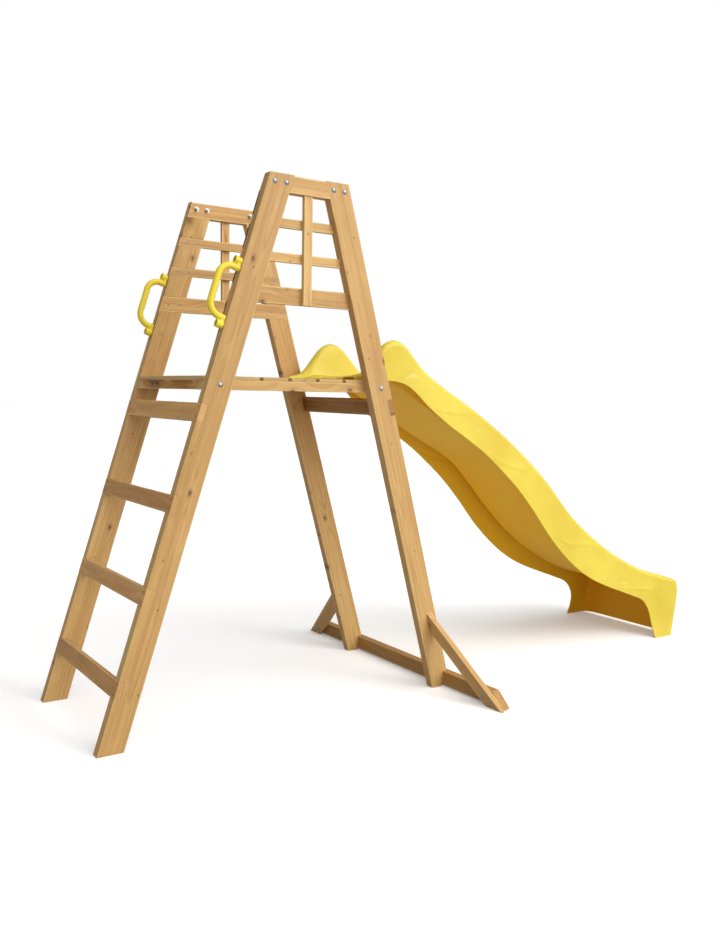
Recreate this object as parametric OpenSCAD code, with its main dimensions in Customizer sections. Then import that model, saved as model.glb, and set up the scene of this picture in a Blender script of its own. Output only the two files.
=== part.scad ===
// Timber slide tower: two A-frames joined by a climbing ladder, a slatted deck
// and a cross board, with a one-piece moulded wave slide, two grab handles and
// a braced base rail. Millimetres, +Z up, +Y towards the foot of the slide.

/* [A-frames] */
// Width of the tower across the outer faces of the legs
frame_w = 636; // [620:2:660]
// Height of the A-frames above the ground
frame_h = 1846; // [1836:1:1856]
// Thickness of the leg, top rail, platform rail and base rail timber
leg_t = 36; // [32:1:40]
// Width of the leg timber, square to its length
leg_w = 86; // [80:1:92]
// Lean of the front legs from the vertical, in degrees
front_lean = 18.4; // [18:0.1:18.8]
// Lean of the rear legs from the vertical, in degrees
rear_lean = 16.2; // [15.8:0.1:16.6]
// Distance on the ground from the front legs' toes to the rear legs' toes
leg_spread = 1363; // [1355:1:1370]
// Height of the top rails
top_rail_h = 56; // [50:1:60]

/* [Guard panels] */
// Thickness of the guard rails, guard boards and battens
guard_t = 16; // [12:1:18]
// Height of each slim guard rail
guard_rail_h = 30; // [26:1:34]
// Underside of the upper slim guard rail above the ground
upper_rail_z = 1683; // [1670:1:1690]
// Underside of the lower slim guard rail above the ground
lower_rail_z = 1574; // [1560:1:1590]
// Height of each wide guard board
guard_board_h = 56; // [50:1:60]
// Underside of the wide guard boards above the ground
guard_board_z = 1439; // [1425:1:1450]
// Width of the upright battens
batten_w = 32; // [28:1:38]
// Distance of the batten's front edge from the front legs' toes
batten_y = 745; // [735:1:755]

/* [Deck] */
// Height of the deck's top above the ground
deck_h = 1200; // [1195:1:1205]
// Thickness of the deck slats
slat_t = 12; // [10:1:14]
// Width of each deck slat
slat_w = 96; // [90:1:100]
// Gap between deck slats
slat_gap = 14.5; // [10:0.5:18]
// Distance of the first slat's front edge from the front legs' toes
first_slat_y = 391; // [386:1:396]
// Height of the platform rails that carry the slats
platform_rail_h = 33; // [30:1:38]

/* [Ladder and cross board] */
// Width of the ladder steps and of the rear cross board
step_w = 60; // [54:1:66]
// Thickness of the steps, which is also the depth of their notches
step_t = 21; // [18:1:24]
// Distance along the front leg from its toe to the first step's lower edge
first_step = 191; // [180:1:200]
// Distance along the leg from one step to the next
step_pitch = 308; // [304:1:310]
// Distance along the rear leg from its heel to the cross board's lower edge
cross_board_up = 1122; // [1116:1:1130]

/* [Base rail and braces] */
// Height of the base rail
base_rail_h = 56; // [50:1:60]
// Clearance of the base rail above the ground
base_rail_z = 6; // [4:1:8]
// Distance of the base rail's front face from the front legs' toes
base_rail_y = 1414; // [1410:1:1418]
// Width of the braces, square to their length
brace_w = 60; // [54:1:66]
// Thickness of the braces
brace_t = 21; // [18:1:24]
// Distance from the centre plane to the tip of each brace
brace_reach = 674; // [665:1:685]
// Height of each brace's upper tip above the ground
brace_top = 311; // [300:1:320]
// Lean of the braces from the vertical, in degrees
brace_lean = 14.5; // [13:0.1:15.5]

/* [Slide] */
// Thickness of the moulded slide wall
slide_t = 5; // [4:0.5:6]
// Half width across the crests of the slide's two rims
rim_x = 217; // [214:1:220]
// Half width of the slide's flat floor
floor_x = 182; // [178:1:186]
// Half width across the slide's skirts
skirt_x = 250; // [246:1:254]
// Half width across the slide's feet
foot_x = 287; // [280:1:290]
// Distance of the slide's end from the front legs' toes
slide_end = 2950; // [2946:1:2954]

/* [Grab handles] */
// Diameter of the grip
grip_d = 22; // [20:1:24]
// Reach of the grip's centre line from the leg
grip_reach = 63; // [60:1:66]
// Distance between the grip's two ends, centre to centre
grip_span = 166; // [160:1:170]
// Radius of the bends in the grip's centre line
grip_bend = 42; // [38:1:44]
// Diameter of the fixing bosses
boss_d = 26; // [25:1:28]
// Height of the fixing bosses
boss_h = 25; // [22:1:27]
// Distance between the two bosses, centre to centre
boss_span = 212; // [210:1:216]
// Distance along the front leg from its toe to the handle's middle
handle_up = 1538; // [1530:1:1545]

/* [Hidden] */

step_count = 4;
slat_count = 6;
out_x = frame_w / 2;
in_x = out_x - leg_t;
guard_x = in_x + guard_t;
mid_leg_x = out_x - leg_t / 2;
toe_y = -slide_end / 2;
front_run = leg_w / cos(front_lean);
rear_run = leg_w / cos(rear_lean);
rail_drop = 3;
top_rail_z = frame_h - top_rail_h;
slat_pitch = slat_w + slat_gap;
base_rail_top = base_rail_z + base_rail_h;
base_rail_back = base_rail_y + leg_t;
reach = 4000;
edge_r = 4;

// Bolts, nuts and screws
bolt_d = 8;
hole_d = 8.4;
dome_d = 18;
dome_h = 4.5;
washer_t = 1.6;
nut_af = 13;
nut_h = 6.5;
thread_end = 5;
screw_d = 4;
screw_head_d = 8;
screw_head_h = 2.4;
screw_gap = 0.1;
lag_d = 6;
lag_head_d = 13;
lag_head_h = 5;
lag_sink = 10;

timber = [0.82, 0.63, 0.38];
dark_timber = [0.74, 0.54, 0.31];
yellow = [0.96, 0.84, 0.22];
steel = [0.76, 0.77, 0.78];

// Edges of the legs, as the distance along Y at a height z
function front_edge(z) = toe_y + z * tan(front_lean);
function front_back(z) = front_edge(z) + front_run;
function rear_edge(z) = toe_y + leg_spread - z * tan(rear_lean);
function rear_back(z) = rear_edge(z) + rear_run;

// ---- placing ----

// A board cut to an outline of [y, z] points, lying between x0 and x0 + t
module side_board(outline, x0, t) {
    translate([x0, 0, 0]) rotate([90, 0, 90]) linear_extrude(t) polygon(outline);
}

// Same, on the left side when side is -1 and on the right when it is 1
module on_side(side) {
    if (side > 0) children();
    else mirror([1, 0, 0]) children();
}

// Axes of a front leg: Z up along its front edge, Y square into the timber
module front_leg_axes() {
    translate([0, toe_y, 0]) rotate([-front_lean, 0, 0]) children();
}

// Axes of a rear leg: Z up along its rear edge, Y square out of the timber
module rear_leg_axes() {
    translate([0, toe_y + leg_spread + rear_run, 0]) rotate([rear_lean, 0, 0]) children();
}

// ---- fasteners, along -Z with the head's bearing face or flush top at z = 0 ----

module carriage_bolt(grip) {
    cap_r = (dome_d * dome_d / 4 + dome_h * dome_h) / (2 * dome_h);
    intersection() {
        translate([0, 0, dome_h - cap_r]) sphere(r = cap_r, $fn = 48);
        cylinder(d = dome_d, h = dome_h, $fn = 48);
    }
    length = grip + washer_t + nut_h + thread_end;
    translate([0, 0, -length]) cylinder(d = bolt_d, h = length, $fn = 32);
}

module nut_and_washer() {
    difference() {
        union() {
            cylinder(d = dome_d, h = washer_t, $fn = 48);
            translate([0, 0, washer_t]) cylinder(d = nut_af / cos(30), h = nut_h, $fn = 6);
        }
        translate([0, 0, -1]) cylinder(d = bolt_d + screw_gap, h = nut_h + 4, $fn = 32);
    }
}

module screw_body(length, gap) {
    r = screw_d / 2 + gap;
    head = screw_head_d / 2 + gap;
    rotate_extrude($fn = 32)
        polygon([[0, -length], [r, -length], [r, -screw_head_h], [head, 0], [0, 0]]);
}

module wood_screw(length) {
    screw_body(length, 0);
}

module screw_hole(length) {
    screw_body(length + 1, screw_gap);
}

module lag_screw(length) {
    cylinder(d = lag_head_d, h = lag_head_h, $fn = 6);
    translate([0, 0, -length]) cylinder(d = lag_d, h = length, $fn = 32);
}

// ---- where the fasteners sit ----

bolt_mid_z = frame_h - 26;
bolt_step = 43;
platform_bolt_z = deck_h - slat_t - platform_rail_h / 2;
function front_bolt_y(z) = front_edge(z) + 46;
function rear_bolt_y(z) = rear_edge(z) + 50;

module at_top_bolts(side) {
    on_side(side) for (y = [
        front_edge(bolt_mid_z) + 26, front_edge(bolt_mid_z) + 26 + bolt_step,
        rear_edge(bolt_mid_z) + 22, rear_edge(bolt_mid_z) + 22 + bolt_step
    ])
        translate([out_x, y, bolt_mid_z]) rotate([0, 90, 0]) children();
}

module at_platform_bolts(side) {
    z = platform_bolt_z;
    on_side(side) for (y = [front_bolt_y(z), rear_bolt_y(z)])
        translate([out_x, y, z]) rotate([0, 90, 0]) children();
}

brace_bolts_at = [[578, 40], [620, 20]];
module at_brace_bolts(side) {
    on_side(side) brace_axes() for (p = brace_bolts_at)
        translate([p[0], 0, p[1] / cos(brace_lean)]) rotate([90, 0, 0]) children();
}

screw_inset = 14;
module at_step_screws(i) {
    front_leg_axes() for (side = [-1, 1], up = [screw_inset, step_w - screw_inset])
        translate([side * mid_leg_x, 0, first_step + i * step_pitch + up])
            rotate([90, 0, 0]) children();
}

module at_cross_board_screws() {
    rear_leg_axes() for (side = [-1, 1], up = [screw_inset, step_w - screw_inset])
        translate([side * mid_leg_x, 0, cross_board_up + up]) rotate([-90, 0, 0]) children();
}

// Two screws at each end of a guard rail or board, and one in the batten
module at_guard_screws(side, z) {
    on_side(side) for (y = [
        front_edge(z) + 26, front_edge(z) + 72, toe_y + batten_y + batten_w / 2,
        rear_back(z) - 72, rear_back(z) - 26
    ])
        translate([in_x, y, z]) rotate([0, -90, 0]) children();
}

module at_slat_screws(i) {
    y = toe_y + first_slat_y + i * slat_pitch;
    for (side = [-1, 1], across = [22, slat_w - 22])
        translate([side * (in_x - leg_t / 2), y + across, deck_h]) children();
}

module at_base_rail_screws() {
    for (side = [-1, 1], z = [22, 48])
        translate([side * mid_leg_x, toe_y + base_rail_back, z]) rotate([-90, 0, 0]) children();
}

// Down through a brace's upper edge, square to it, into the leg
brace_screw_x = out_x + 30;
module at_brace_screws(side) {
    on_side(side) brace_axes()
        translate([brace_screw_x, brace_t / 2, brace_upper(brace_screw_x)])
            rotate([0, brace_angle, 0]) children();
}

module at_slide_screws() {
    for (x = [-150, -55, 55, 150])
        translate([x, toe_y + slide_screw_y, deck_h + slide_t]) children();
}

module at_handle_screws(side) {
    on_side(side) front_leg_axes() for (up = [-boss_span / 2, boss_span / 2])
        translate([mid_leg_x, -boss_h + lag_sink, handle_up + up]) rotate([90, 0, 0]) children();
}

// ---- A-frames ----

guard_zs = [upper_rail_z, lower_rail_z, guard_board_z];
guard_hs = [guard_rail_h, guard_rail_h, guard_board_h];
step_screw_l = 50;
guard_screw_l = 28;
handle_screw_l = 55;
base_screw_l = 60;
brace_screw_l = 70;
slat_screw_l = 30;

// Outline between the front legs' front edge and the rear legs' rear edge
function across(z0, z1) = [
    [front_edge(z0), z0], [rear_back(z0), z0], [rear_back(z1), z1], [front_edge(z1), z1]
];

module guard_housings(side) {
    on_side(side) {
        side_board(across(top_rail_z, frame_h + 1), in_x - 1, leg_t / 2 + 1);
        for (i = [0:2])
            side_board(across(guard_zs[i], guard_zs[i] + guard_hs[i]), in_x - 1, guard_t + 1);
    }
}

module guard_screw_holes(side) {
    for (i = [0:2]) at_guard_screws(side, guard_zs[i] + guard_hs[i] / 2) screw_hole(guard_screw_l);
}

module bolt_hole() {
    translate([0, 0, -80]) cylinder(d = hole_d, h = 100, $fn = 32);
}

module front_leg(side) {
    color(timber) difference() {
        on_side(side) side_board([
            [front_edge(0), 0], [front_back(0), 0],
            [front_back(frame_h), frame_h], [front_edge(frame_h), frame_h]
        ], in_x, leg_t);
        guard_housings(side);
        guard_screw_holes(side);
        front_leg_axes() for (i = [0:step_count - 1])
            translate([-out_x - 1, -1, first_step + i * step_pitch])
                cube([frame_w + 2, step_t + 1, step_w]);
        for (i = [0:step_count - 1]) at_step_screws(i) screw_hole(step_screw_l);
        at_top_bolts(side) bolt_hole();
        at_platform_bolts(side) bolt_hole();
        at_handle_screws(side)
            translate([0, 0, -handle_screw_l - 1])
                cylinder(d = lag_d + screw_gap, h = handle_screw_l + 1, $fn = 32);
    }
}

module rear_leg(side) {
    color(timber) difference() {
        on_side(side) side_board([
            [rear_edge(0), 0], [rear_back(0), 0],
            [rear_back(frame_h), frame_h], [rear_edge(frame_h), frame_h]
        ], in_x, leg_t);
        guard_housings(side);
        guard_screw_holes(side);
        translate([-out_x - 1, toe_y + base_rail_y, -1]) cube([frame_w + 2, leg_w, base_rail_top + 1]);
        rear_leg_axes() translate([-out_x - 1, -step_t, cross_board_up])
            cube([frame_w + 2, step_t + 1, step_w]);
        at_cross_board_screws() screw_hole(step_screw_l);
        at_base_rail_screws() screw_hole(base_screw_l);
        at_brace_screws(side) screw_hole(brace_screw_l);
        at_top_bolts(side) bolt_hole();
        at_platform_bolts(side) bolt_hole();
    }
}

// Full thickness between the legs, half lapped behind them at both ends
module top_rail(side) {
    z1 = frame_h - rail_drop;
    color(timber) difference() {
        on_side(side) union() {
            side_board(across(top_rail_z, z1), in_x, leg_t / 2);
            side_board([
                [front_back(top_rail_z), top_rail_z], [rear_edge(top_rail_z), top_rail_z],
                [rear_edge(z1), z1], [front_back(z1), z1]
            ], in_x, leg_t);
        }
        at_top_bolts(side) bolt_hole();
    }
}

module guard_rail(side, i) {
    z = guard_zs[i];
    color(timber) difference() {
        on_side(side) side_board(across(z, z + guard_hs[i]), in_x, guard_t);
        at_guard_screws(side, z + guard_hs[i] / 2) screw_hole(guard_screw_l);
    }
}

module guard_batten(side) {
    y = toe_y + batten_y;
    color(timber) difference() {
        on_side(side) translate([guard_x, y, guard_board_z])
            cube([guard_t, batten_w, top_rail_z - guard_board_z]);
        guard_screw_holes(side);
    }
}

// ---- deck ----

module platform_rail(side) {
    z0 = deck_h - slat_t - platform_rail_h;
    color(timber) difference() {
        on_side(side) side_board(across(z0, deck_h - slat_t), in_x - leg_t, leg_t);
        at_platform_bolts(side) bolt_hole();
        for (i = [0:slat_count - 1]) at_slat_screws(i) screw_hole(slat_screw_l);
    }
}

module deck_slat(i) {
    color(dark_timber) difference() {
        translate([-in_x, toe_y + first_slat_y + i * slat_pitch, deck_h - slat_t])
            cube([2 * in_x, slat_w, slat_t]);
        at_slat_screws(i) screw_hole(slat_screw_l);
        at_slide_screws() screw_hole(slat_screw_l);
    }
}

// ---- ladder and cross board ----

// A board with eased edges, from y = 0 to y = t and z = 0 to z = w
module eased_board(w, t) {
    rotate([90, 0, 90]) linear_extrude(frame_w) union() {
        translate([edge_r, 0]) square([t - 2 * edge_r, w]);
        translate([0, edge_r]) square([t, w - 2 * edge_r]);
        for (y = [edge_r, t - edge_r], z = [edge_r, w - edge_r])
            translate([y, z]) circle(r = edge_r, $fn = 24);
    }
}

module ladder_step(i) {
    color(dark_timber) difference() {
        front_leg_axes() translate([-out_x, 0, first_step + i * step_pitch])
            eased_board(step_w, step_t);
        at_step_screws(i) screw_hole(step_screw_l);
    }
}

module rear_cross_board() {
    color(dark_timber) difference() {
        rear_leg_axes() translate([-out_x, -step_t, cross_board_up]) eased_board(step_w, step_t);
        at_cross_board_screws() screw_hole(step_screw_l);
    }
}

// ---- base rail and braces ----

brace_rise = brace_top / cos(brace_lean);
brace_grade = brace_rise / (brace_reach - out_x);
brace_angle = atan(brace_grade);
brace_foot_y = base_rail_y - brace_t / cos(brace_lean) + base_rail_top / 2 * tan(brace_lean);

// Distance up a brace's leaning face to its upper edge, at the distance x
function brace_upper(x) = brace_rise - (x - out_x) * brace_grade;
function brace_lower(x) = brace_upper(x) - brace_w / cos(brace_angle);

// Axes of the braces: Z up their leaning front face, Y square into the timber
module brace_axes() {
    translate([0, toe_y + brace_foot_y, 0]) rotate([brace_lean, 0, 0]) children();
}

// Cut to the slope of the braces at both ends
module base_rail() {
    grade = brace_top / (brace_reach - out_x);
    foot_end = brace_reach - base_rail_z / grade;
    top_end = brace_reach - base_rail_top / grade;
    color(dark_timber) difference() {
        translate([0, toe_y + base_rail_back, 0]) rotate([90, 0, 0]) linear_extrude(leg_t)
            polygon([
                [-foot_end, base_rail_z], [foot_end, base_rail_z],
                [top_end, base_rail_top], [-top_end, base_rail_top]
            ]);
        at_base_rail_screws() screw_hole(base_screw_l);
        for (side = [-1, 1]) at_brace_bolts(side)
            translate([0, 0, -coach_l - 1]) cylinder(d = bolt_d + screw_gap, h = coach_l + 1, $fn = 32);
    }
}

// Cut square to the ground, upright against the leg and flat against the base rail
module brace(side) {
    below = 40;
    low_x = out_x + (brace_lower(out_x) + below) / brace_grade;
    high_x = brace_reach + below / brace_grade;
    color(timber) difference() {
        intersection() {
            on_side(side) brace_axes() translate([0, brace_t, 0]) rotate([90, 0, 0])
                linear_extrude(brace_t) polygon([
                    [out_x, brace_upper(out_x)], [out_x, brace_lower(out_x)],
                    [low_x, -below], [high_x, -below]
                ]);
            translate([-reach / 2, toe_y + base_rail_y - reach, 0]) cube(reach);
        }
        at_brace_bolts(side) bolt_hole();
        at_brace_screws(side) screw_hole(brace_screw_l);
    }
}

// ---- slide ----

lip_front = 930;
lip_back = 1060;
lip_bow = 85;
lip_half = 236;
slide_screw_y = 1000;
end_bow = 36;
end_round = 70;
panel_start = slide_end - end_bow;

// Heights along the slide as [distance from the toes, height above the ground]
rim_line = [
    [lip_front, 1214], [1040, 1226], [1070, 1240], [1110, 1288], [1150, 1332], [1195, 1350],
    [1240, 1336], [1285, 1294], [1340, 1242], [1420, 1193], [1540, 1129], [1650, 1068],
    [1800, 973], [1950, 864], [2050, 780], [2150, 682], [2250, 597], [2400, 496],
    [2550, 412], [2700, 345], [2850, 302], [2915, 281]
];
floor_line = [
    [lip_front, 1205], [1000, 1205], [1045, 1207], [1110, 1218], [1180, 1209], [1250, 1181],
    [1350, 1127], [1450, 1070], [1550, 1012], [1650, 959], [1750, 910], [1850, 850],
    [1950, 757], [2050, 653], [2150, 560], [2250, 481], [2350, 415], [2450, 360],
    [2550, 313], [2650, 278], [2750, 254], [2850, 243], [2915, 240]
];
skirt_line = [
    [lip_front, 1200], [1180, 1200], [1240, 1190], [1290, 1160], [1350, 1108], [1450, 1040],
    [1550, 983], [1650, 922], [1750, 848], [1850, 765], [1950, 665], [2050, 554],
    [2150, 461], [2250, 386], [2350, 330], [2450, 289], [2550, 254], [2650, 219],
    [2712, 194], [2753, 156], [2776, 108], [2785, 50], [2788, 0], [2915, 0]
];

// Rows of the moulding: close together at the ears and the feet
slide_rows = concat(
    [for (y = [lip_front : 26 : 1034]) y], [for (y = [lip_back : 24 : 1300]) y],
    [for (y = [1350 : 75 : 2625]) y],
    [2670, 2712, 2738, 2756, 2770, 2779, 2784, 2788, 2830, 2880]
);
// Heights up each skirt, as shares of the skirt, and of the end panel's rows
skirt_shares = [0, 0.2, 0.5, 0.8, 1];
panel_falls = [0, 0.03, 0.11, 0.22, 0.5, 0.8, 1];
panel_arch = 10;
last_skirt = len(skirt_shares) - 1;

// Smooth curve through the points p, read at y
function span_of(y, p, i = 0) = i >= len(p) - 2 || y <= p[i + 1][0] ? i : span_of(y, p, i + 1);
function grade(p, i) =
    let (a = max(i - 1, 0), b = min(i + 1, len(p) - 1))
    (p[b][1] - p[a][1]) / (p[b][0] - p[a][0]);
function along(y, p) =
    let (
        i = span_of(y, p),
        h = p[i + 1][0] - p[i][0],
        u = (y - p[i][0]) / h,
        flat = p[i][1] == p[i + 1][1],
        m0 = flat ? 0 : grade(p, i) * h,
        m1 = flat ? 0 : grade(p, i + 1) * h
    )
    (2 * u * u * u - 3 * u * u + 1) * p[i][1] + (u * u * u - 2 * u * u + u) * m0
    + (3 * u * u - 2 * u * u * u) * p[i + 1][1] + (u * u * u - u * u) * m1;

// Eases from 0 to 1 between a and b
function ease(v, a, b) = let (u = min(max((v - a) / (b - a), 0), 1)) u * u * (3 - 2 * u);
function mix(a, b, u) = a + (b - a) * u;

// Half widths across the rims' crests and across the skirts
function crest_half(y) = rim_x + 16 * ease(y, 2450, 2900) + 12 * ease(y, 2780, panel_start);
function rim_bend(y) = min(18, 0.45 * (along(y, rim_line) - along(y, floor_line)));
function skirt_half(y, z) =
    let (
        hem = along(y, skirt_line),
        share = (z - hem) / (along(y, rim_line) - rim_bend(y) - hem),
        low = mix(lip_half, skirt_x, ease(y, 1180, 1400)),
        flared = (foot_x - skirt_x) * pow(max(0, 1 - z / 200), 2.5)
    )
    mix(
        mix(low, crest_half(y) + 20, share) + flared,
        mix(foot_x, crest_half(y) + 30, share),
        ease(y, 2780, panel_start)
    );

// Right half of the section at y, from the skirt's edge to the middle of the
// floor, as [x, z, depth below the crest], moved in by t from the outer surface
function half_section(y, t) =
    let (
        top = along(y, rim_line),
        low = along(y, floor_line),
        hem = along(y, skirt_line),
        tall = top - low,
        xr = crest_half(y),
        xf = floor_x + 14 * ease(y, 2450, 2900),
        bend = rim_bend(y)
    )
    concat(
        [
            for (share = skirt_shares)
                let (z = mix(hem, top - bend, share)) [skirt_half(y, z) - t, z, top - z]
        ],
        [
            [xr + 13 - 0.7 * t, top - 0.3 * bend - 0.7 * t, 0.3 * bend],
            [xr, top - t, 0],
            [xr - 13 + 0.7 * t, top - 0.3 * bend - 0.7 * t, 0],
            [xr - 20 + t, top - bend, 0],
            [xf + 7 + t, low + 0.25 * tall, 0],
            [xf + 1 + 0.7 * t, low + 0.06 * tall - 0.7 * t, 0],
            [xf - 14, low - t, 0],
            [0, low - t, 0]
        ]
    );

// How far the end bows out at the height z and the depth d below the crest
function end_out(z, d, t) =
    min(
        end_bow * sqrt(1 - pow(1 - min(d / end_round, 1), 2)),
        along(min(z, 203), [[0, 0], [108, 21], [203, end_bow]])
    ) - t * min(d / 20, 1);

// The right half of a row; the lip's front edge bows back towards its corners
function body_half(y, t) = [
    for (p = half_section(y, t))
        [
            p[0],
            y + lip_bow * pow(p[0] / lip_half, 2) * (1 - min((y - lip_front) / (lip_back - lip_front), 1))
            + ease(y, 2830, panel_start) * end_out(p[1], p[2], t),
            p[1]
        ]
];

// The end panel turns down from the floor and the rims between the feet
function panel_half(k, t) =
    let (
        s = half_section(panel_start, t),
        fall = panel_falls[k],
        level = mix(s[last_skirt][1], 2 * last_skirt, fall)
    )
    [
        for (i = [0 : len(s) - 1])
            let (
                skirt = i <= last_skirt,
                z = skirt ? min(s[i][1], level - 2 * (last_skirt - i))
                    : mix(s[i][1], panel_arch * (1 - pow(s[i][0] / foot_x, 6)), fall),
                rest = i < last_skirt ? 0.6 * (len(panel_falls) - 1 - k) : 0
            )
            [
                skirt ? skirt_half(panel_start, z) - t : s[i][0],
                panel_start + end_out(z, s[i][2] + s[i][1] - z, t) - rest,
                z
            ]
    ];

// A whole row, from the left skirt's edge to the right skirt's edge
function both_halves(h) =
    concat(
        [for (i = [0 : len(h) - 1]) [-h[i][0], h[i][1], h[i][2]]],
        [for (i = [len(h) - 2 : -1 : 0]) h[i]]
    );

function skin(t) = concat(
    [for (y = slide_rows) both_halves(body_half(y, t))],
    [for (k = [0 : len(panel_falls) - 1]) both_halves(panel_half(k, t))]
);

module slide() {
    upper = skin(0);
    under = skin(slide_t);
    rows = len(upper);
    cols = len(upper[0]);
    n = rows * cols;
    points = concat([for (r = upper) each r], [for (r = under) each r]);
    function at(j, i) = j * cols + i;
    faces = concat(
        [for (j = [0 : rows - 2], i = [0 : cols - 2]) each [
            [at(j, i), at(j + 1, i), at(j + 1, i + 1)],
            [at(j, i), at(j + 1, i + 1), at(j, i + 1)],
            [n + at(j, i), n + at(j + 1, i + 1), n + at(j + 1, i)],
            [n + at(j, i), n + at(j, i + 1), n + at(j + 1, i + 1)]
        ]],
        [for (i = [0 : cols - 2]) each [
            [at(0, i), at(0, i + 1), n + at(0, i + 1)],
            [at(0, i), n + at(0, i + 1), n + at(0, i)],
            [at(rows - 1, i + 1), at(rows - 1, i), n + at(rows - 1, i)],
            [at(rows - 1, i + 1), n + at(rows - 1, i), n + at(rows - 1, i + 1)]
        ]],
        [for (j = [0 : rows - 2]) each [
            [at(j, cols - 1), at(j + 1, cols - 1), n + at(j + 1, cols - 1)],
            [at(j, cols - 1), n + at(j + 1, cols - 1), n + at(j, cols - 1)],
            [at(j + 1, 0), at(j, 0), n + at(j, 0)],
            [at(j + 1, 0), n + at(j, 0), n + at(j + 1, 0)]
        ]]
    );
    color(yellow) translate([0, toe_y, 0]) polyhedron(points, faces, convexity = 6);
}

// ---- grab handles ----

ridge_count = 4;
ridge_pitch = 20;
ridge_in = 3.5;
ridge_d = 19;
web_h = 16;

module grip_bend_arc(quarter) {
    rotate([0, 0, quarter]) rotate_extrude(angle = 90, $fn = 64)
        translate([grip_bend, 0]) circle(d = grip_d, $fn = 32);
}

// The handle in its own axes: X along the leg, Y out from it, Z across
module handle_shape() {
    half = grip_span / 2;
    run = half - grip_bend;
    rise = grip_reach - grip_bend;
    for (end = [-1, 1]) {
        translate([end * half, 0, 0]) rotate([-90, 0, 0]) cylinder(d = grip_d, h = rise, $fn = 32);
        translate([end * boss_span / 2, 0, 0]) rotate([-90, 0, 0]) cylinder(d = boss_d, h = boss_h, $fn = 48);
    }
    translate([run, rise, 0]) grip_bend_arc(0);
    translate([-run, rise, 0]) grip_bend_arc(90);
    translate([-run, grip_reach, 0]) rotate([0, 90, 0]) cylinder(d = grip_d, h = 2 * run, $fn = 32);
    for (i = [0 : ridge_count - 1])
        translate([(i - (ridge_count - 1) / 2) * ridge_pitch, grip_reach - ridge_in, 0])
            sphere(d = ridge_d, $fn = 32);
    for (end = [-1, 1])
        translate([end * (half + boss_span / 2) / 2 - boss_d / 4, 0, -grip_d / 2 + 1])
            cube([boss_d / 2, web_h, grip_d - 2]);
}

module grab_handle(side) {
    color(yellow) difference() {
        on_side(side) front_leg_axes() translate([mid_leg_x, 0, handle_up])
            rotate([0, -90, 0]) mirror([0, 1, 0]) handle_shape();
        at_handle_screws(side) {
            cylinder(d = 17, h = lag_sink + 1, $fn = 48);
            translate([0, 0, -60]) cylinder(d = lag_d + screw_gap, h = 70, $fn = 32);
        }
    }
}

// ---- fastener sets ----

coach_l = 42;

module coach_screw() {
    intersection() {
        carriage_bolt(1);
        translate([-dome_d, -dome_d, -1]) cube([2 * dome_d, 2 * dome_d, dome_h + 1]);
    }
    translate([0, 0, -coach_l]) cylinder(d = bolt_d, h = coach_l, $fn = 32);
}

module top_joint_bolts() {
    color(steel) for (side = [-1, 1]) at_top_bolts(side) carriage_bolt(leg_t);
}

module top_joint_nuts() {
    color(steel) for (side = [-1, 1]) at_top_bolts(side)
        translate([0, 0, -leg_t]) mirror([0, 0, 1]) nut_and_washer();
}

module platform_bolts() {
    color(steel) for (side = [-1, 1]) at_platform_bolts(side) carriage_bolt(2 * leg_t);
}

module platform_nuts() {
    color(steel) for (side = [-1, 1]) at_platform_bolts(side)
        translate([0, 0, -2 * leg_t]) mirror([0, 0, 1]) nut_and_washer();
}

module brace_bolts() {
    color(steel) for (side = [-1, 1]) at_brace_bolts(side) coach_screw();
}

module brace_screws() {
    color(steel) for (side = [-1, 1]) at_brace_screws(side) wood_screw(brace_screw_l);
}

module step_screws() {
    color(steel) for (i = [0 : step_count - 1]) at_step_screws(i) wood_screw(step_screw_l);
}

module cross_board_screws() {
    color(steel) at_cross_board_screws() wood_screw(step_screw_l);
}

module guard_screws() {
    color(steel) for (side = [-1, 1], i = [0 : 2])
        at_guard_screws(side, guard_zs[i] + guard_hs[i] / 2) wood_screw(guard_screw_l);
}

module slat_screws() {
    color(steel) for (i = [0 : slat_count - 1]) at_slat_screws(i) wood_screw(slat_screw_l);
}

module base_rail_screws() {
    color(steel) at_base_rail_screws() wood_screw(base_screw_l);
}

module handle_screws() {
    color(steel) for (side = [-1, 1]) at_handle_screws(side) lag_screw(handle_screw_l);
}

module slide_screws() {
    color(steel) at_slide_screws() {
        cylinder(d = 12, h = 3, $fn = 32);
        translate([0, 0, -slide_t - slat_t + 1]) cylinder(d = screw_d, h = slide_t + slat_t, $fn = 24);
    }
}

// ---- one module per piece ----

module front_leg_left() { front_leg(-1); }
module front_leg_right() { front_leg(1); }
module rear_leg_left() { rear_leg(-1); }
module rear_leg_right() { rear_leg(1); }
module top_rail_left() { top_rail(-1); }
module top_rail_right() { top_rail(1); }
module upper_guard_rail_left() { guard_rail(-1, 0); }
module upper_guard_rail_right() { guard_rail(1, 0); }
module lower_guard_rail_left() { guard_rail(-1, 1); }
module lower_guard_rail_right() { guard_rail(1, 1); }
module guard_board_left() { guard_rail(-1, 2); }
module guard_board_right() { guard_rail(1, 2); }
module guard_batten_left() { guard_batten(-1); }
module guard_batten_right() { guard_batten(1); }
module platform_rail_left() { platform_rail(-1); }
module platform_rail_right() { platform_rail(1); }
module brace_left() { brace(-1); }
module brace_right() { brace(1); }
module grab_handle_left() { grab_handle(-1); }
module grab_handle_right() { grab_handle(1); }

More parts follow.
